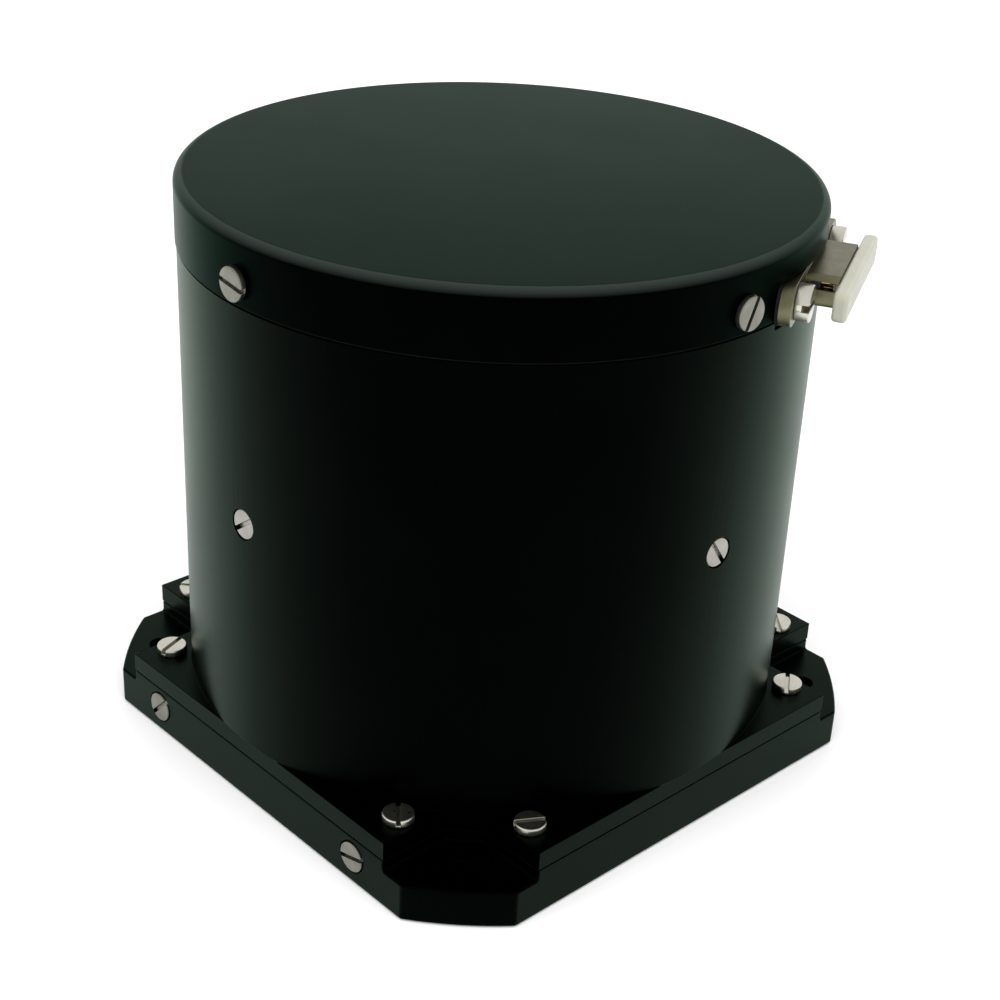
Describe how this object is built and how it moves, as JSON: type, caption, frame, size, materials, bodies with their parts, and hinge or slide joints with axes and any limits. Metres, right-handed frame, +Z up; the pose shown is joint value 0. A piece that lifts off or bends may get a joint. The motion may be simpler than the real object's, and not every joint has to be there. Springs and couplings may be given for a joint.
{
  "type": "gnss receiver",
  "caption": "Round black instrument housing on a square flanged base with corner mounting holes, a screwed flat lid, and a rectangular multi-pin connector under a white dust cap.",
  "frame": {"origin": "centre of the base's underside, on the axis of the round housing", "axes": "+Z up along the housing axis; X and Y square to the four flats of the base; the two side screws are in the -X flat; the connector faces 61.5 degrees from +X towards -Y"},
  "size_m": [0.1026, 0.1074, 0.0965],
  "materials": {
    "black_anodised": "satin black anodised",
    "black_radome": "satin black, matched to the housing",
    "screw_steel": "turned stainless steel",
    "nickel_plate": "dull warm nickel plating",
    "white_cap": "translucent white moulding",
    "dark_insulator": "moulded black",
    "gold_contact": "gold plated",
    "black_rubber": "moulded",
    "green_board": "solder mask",
    "bright_can": "tinned",
    "brass_post": "turned",
    "clear_anodised": "clear anodised",
    "ferrite": "matt sintered",
    "pale_ceramic": "fired, unglazed",
    "silver_film": "fired silver"
  },
  "bodies": {
    "receiver": {"base_plate": "black_anodised", "base_seal": "black_rubber", "side_screws": "screw_steel", "flange_screws": "screw_steel", "housing": "black_anodised", "body_screws": "screw_steel", "lid_gasket": "black_rubber", "lid": "black_radome", "lid_screws": "screw_steel", "connector_gasket": "black_rubber", "connector_shell": "nickel_plate", "connector_insert": "dark_insulator", "connector_contacts": "gold_contact", "connector_screws": "screw_steel", "chassis": "clear_anodised", "lower_standoffs": "brass_post", "upper_standoffs": "brass_post", "interface_board": "green_board", "interface_board_screws": "screw_steel", "power_module": "dark_insulator", "capacitors": "bright_can", "power_inductor": "ferrite", "stack_plug": "dark_insulator", "stack_socket": "dark_insulator", "receiver_board": "green_board", "receiver_module_can": "bright_can", "clock_oscillator": "bright_can", "processor": "dark_insulator", "backup_cell_holder": "dark_insulator", "backup_cell": "bright_can", "riser_header": "dark_insulator", "riser_board": "green_board", "antenna_posts": "brass_post", "antenna_ground_plane": "clear_anodised", "antenna_screws": "screw_steel", "antenna_ceramic": "pale_ceramic", "antenna_electrode": "silver_film", "antenna_feed_pin": "gold_contact", "amplifier_board": "green_board", "amplifier_can": "bright_can", "coax_jacks": "gold_contact", "coax_bullet": "gold_contact"},
    "dust_cap": {"dust_cap": "white_cap"}
  },
  "joints": [
    {"name": "dust_cap_pull", "type": "slide", "parent": "receiver", "child": "dust_cap", "axis": [0.4772, -0.8788, 0], "range_m": [0, 0.03]}
  ]
}
